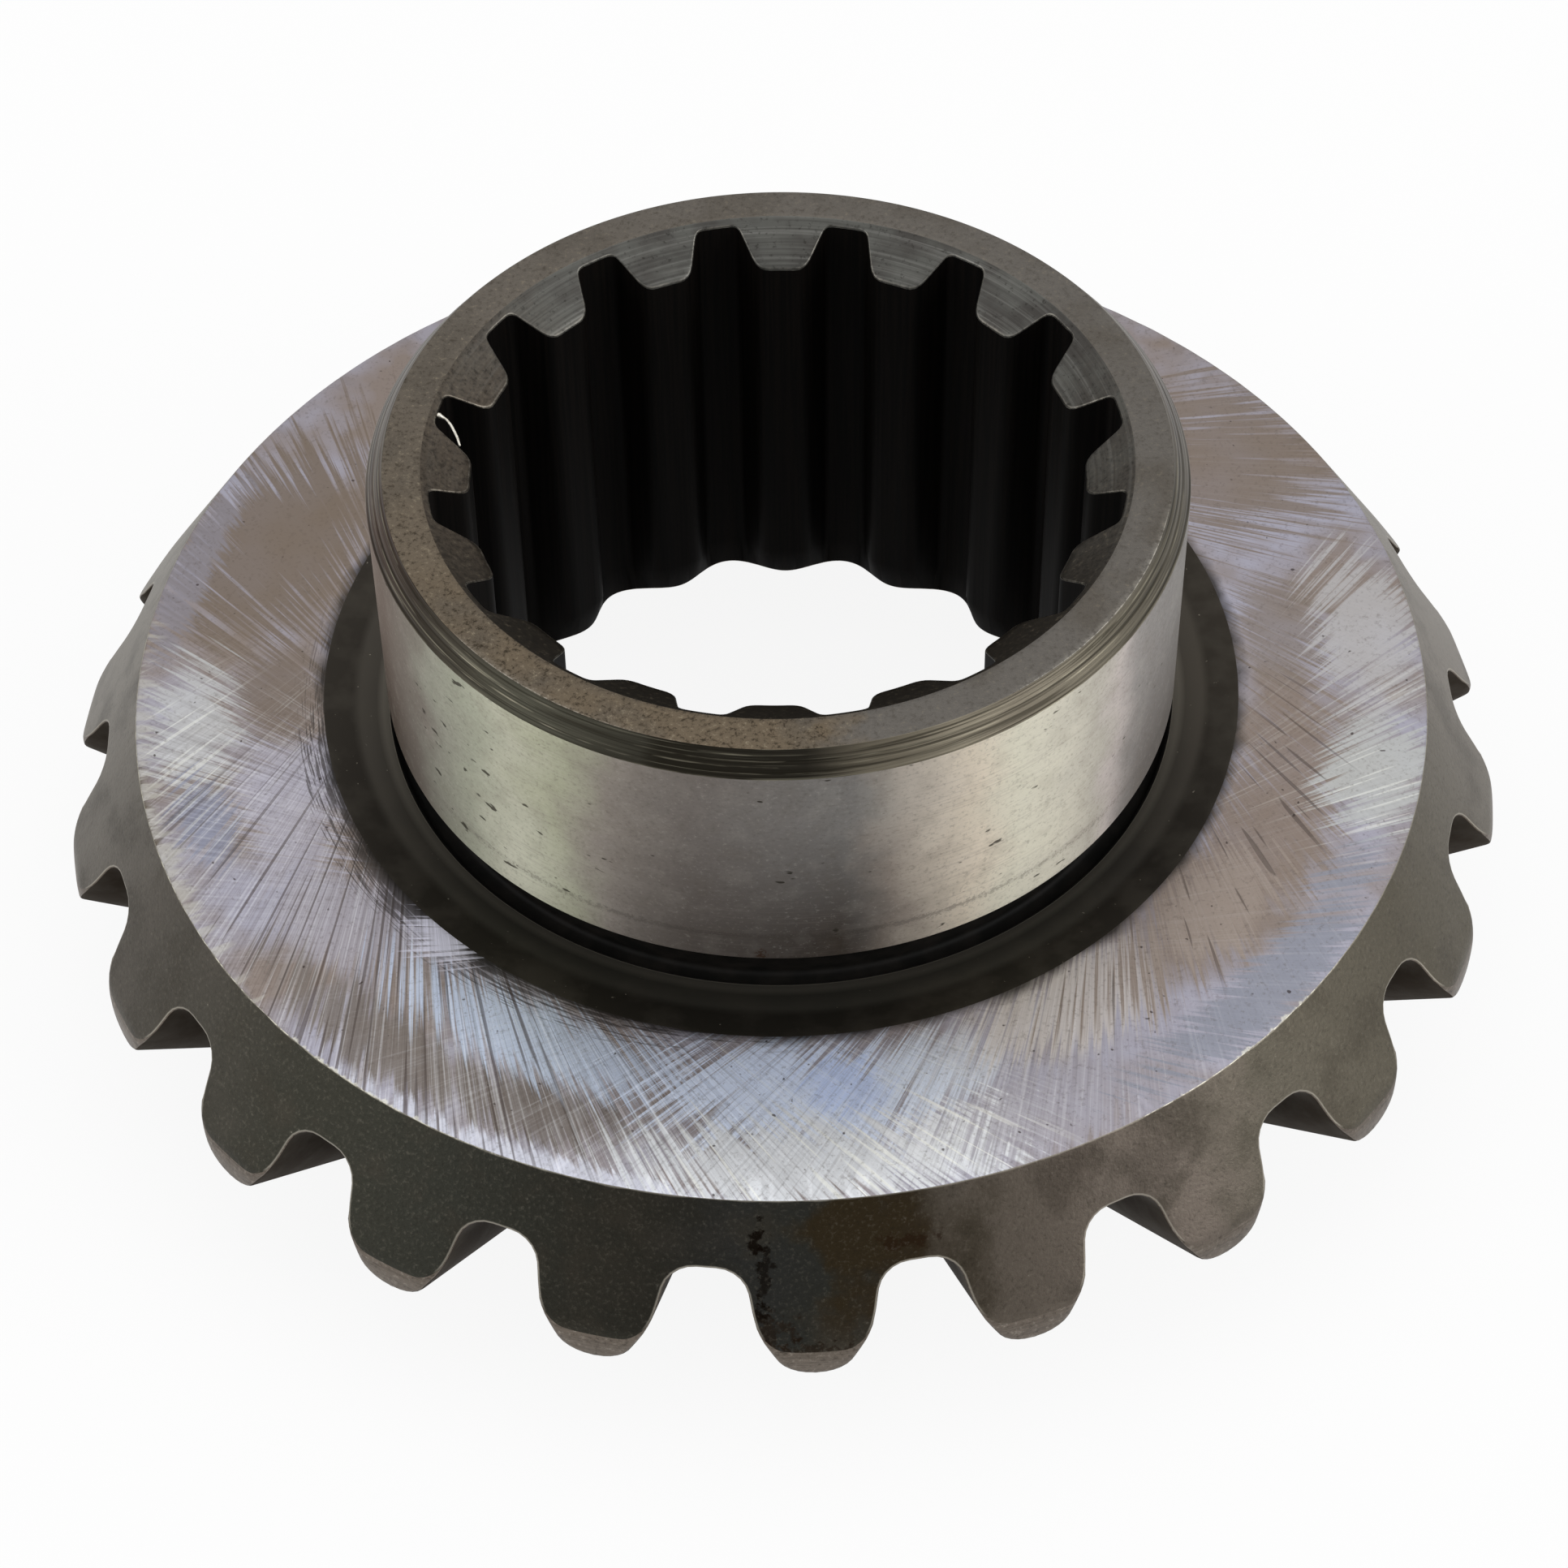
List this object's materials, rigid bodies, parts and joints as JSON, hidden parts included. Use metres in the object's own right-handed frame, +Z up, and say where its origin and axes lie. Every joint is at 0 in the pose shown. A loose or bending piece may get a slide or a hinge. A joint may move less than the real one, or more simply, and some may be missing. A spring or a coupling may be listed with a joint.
{
  "type": "differential side gear",
  "caption": "Differential side gear in one piece: straight bevel teeth below, a ground thrust face on the back, and a plain ground hub with a splined bore for the axle shaft.",
  "frame": {"origin": "middle of the circle on which the inner ends of the teeth stand, on the gear's axis", "axes": "+Z up along the gear's axis, from the teeth to the hub's end; one bevel tooth points along -Y"},
  "size_m": [0.1106, 0.111, 0.0452],
  "materials": {
    "steel": "ground bright on the hub and the thrust face, dull grey-brown as forged and turned elsewhere"
  },
  "bodies": {
    "root": {"side_gear": "steel"}
  },
  "joints": []
}
